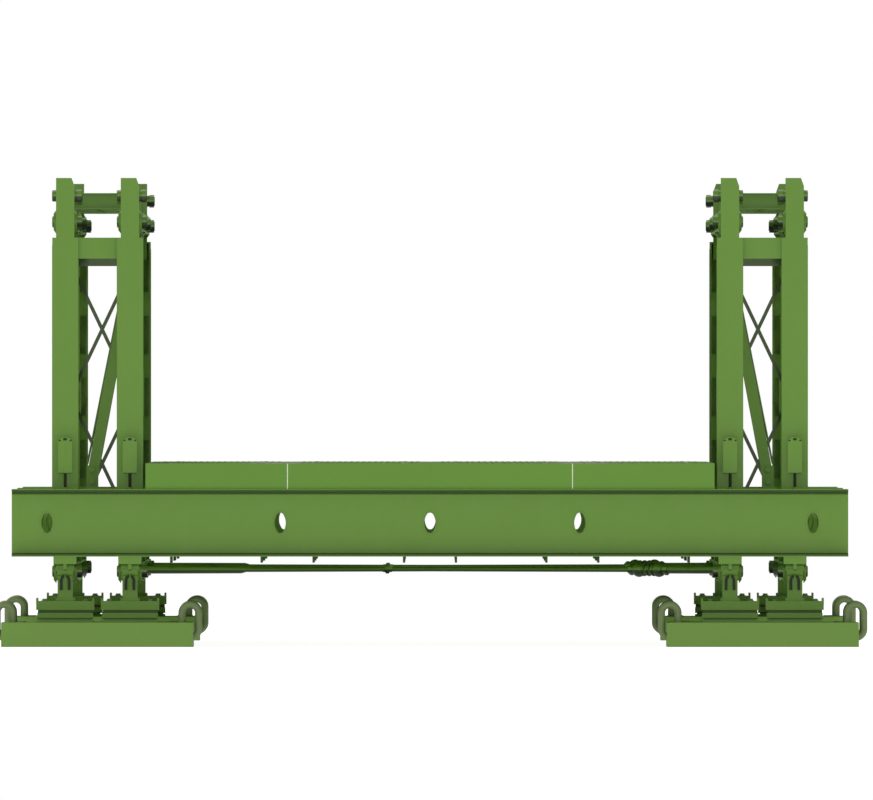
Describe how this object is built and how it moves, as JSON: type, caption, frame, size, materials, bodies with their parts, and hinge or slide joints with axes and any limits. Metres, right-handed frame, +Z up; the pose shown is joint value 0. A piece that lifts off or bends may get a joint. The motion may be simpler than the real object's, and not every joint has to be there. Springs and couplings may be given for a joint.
{
  "type": "two-bay panel truss road bridge",
  "caption": "Panel truss road bridge with double trusses, I-beam transoms, steel deck, end posts, rocker bearings and base plates.",
  "frame": {"origin": "on the ground under the middle of the bridge, midway between its ends and its sides", "axes": "+Y along the roadway, +X across it, +Z up"},
  "size_m": [5.332, 7.166, 2.86],
  "materials": {
    "bridge_paint": "satin olive-green paint",
    "deck_paint": "satin olive-green paint, worn by traffic on top",
    "bearing_paint": "satin olive-green paint over castings and plate",
    "brace_paint": "darker grey-green paint on thin bars, rods and rings",
    "pin_steel": "greased and painted steel"
  },
  "bodies": {
    "root": {"panel_left_outer_front": "bridge_paint", "panel_left_inner_front": "bridge_paint", "panel_right_inner_front": "bridge_paint", "panel_right_outer_front": "bridge_paint", "panel_left_outer_back": "bridge_paint", "panel_left_inner_back": "bridge_paint", "panel_right_inner_back": "bridge_paint", "panel_right_outer_back": "bridge_paint", "end_posts_front_left": "bridge_paint", "end_posts_front_right": "bridge_paint", "end_posts_back_left": "bridge_paint", "end_posts_back_right": "bridge_paint", "post_ties_left": "bridge_paint", "post_ties_right": "bridge_paint", "bearings_front_left": "bearing_paint", "bearings_front_right": "bearing_paint", "bearings_back_left": "bearing_paint", "bearings_back_right": "bearing_paint", "base_plate_front_left": "bearing_paint", "base_plate_front_right": "bearing_paint", "base_plate_back_left": "bearing_paint", "base_plate_back_right": "bearing_paint", "lifting_rings_front_left": "brace_paint", "lifting_rings_front_right": "brace_paint", "lifting_rings_back_left": "brace_paint", "lifting_rings_back_right": "brace_paint", "transom_front_end": "bridge_paint", "transom_front_outer": "bridge_paint", "transom_front_inner": "bridge_paint", "transom_back_inner": "bridge_paint", "transom_back_outer": "bridge_paint", "transom_back_end": "bridge_paint", "deck_units_front": "deck_paint", "deck_units_back": "deck_paint", "rakers_left": "bridge_paint", "rakers_right": "bridge_paint", "bracing_frame_left": "brace_paint", "bracing_frame_right": "brace_paint", "top_frames_left": "bridge_paint", "top_frames_right": "bridge_paint", "sway_brace_front": "brace_paint", "sway_brace_back": "brace_paint", "panel_pins": "pin_steel", "transom_clamps": "bridge_paint", "hook_bolts": "pin_steel"}
  },
  "joints": []
}
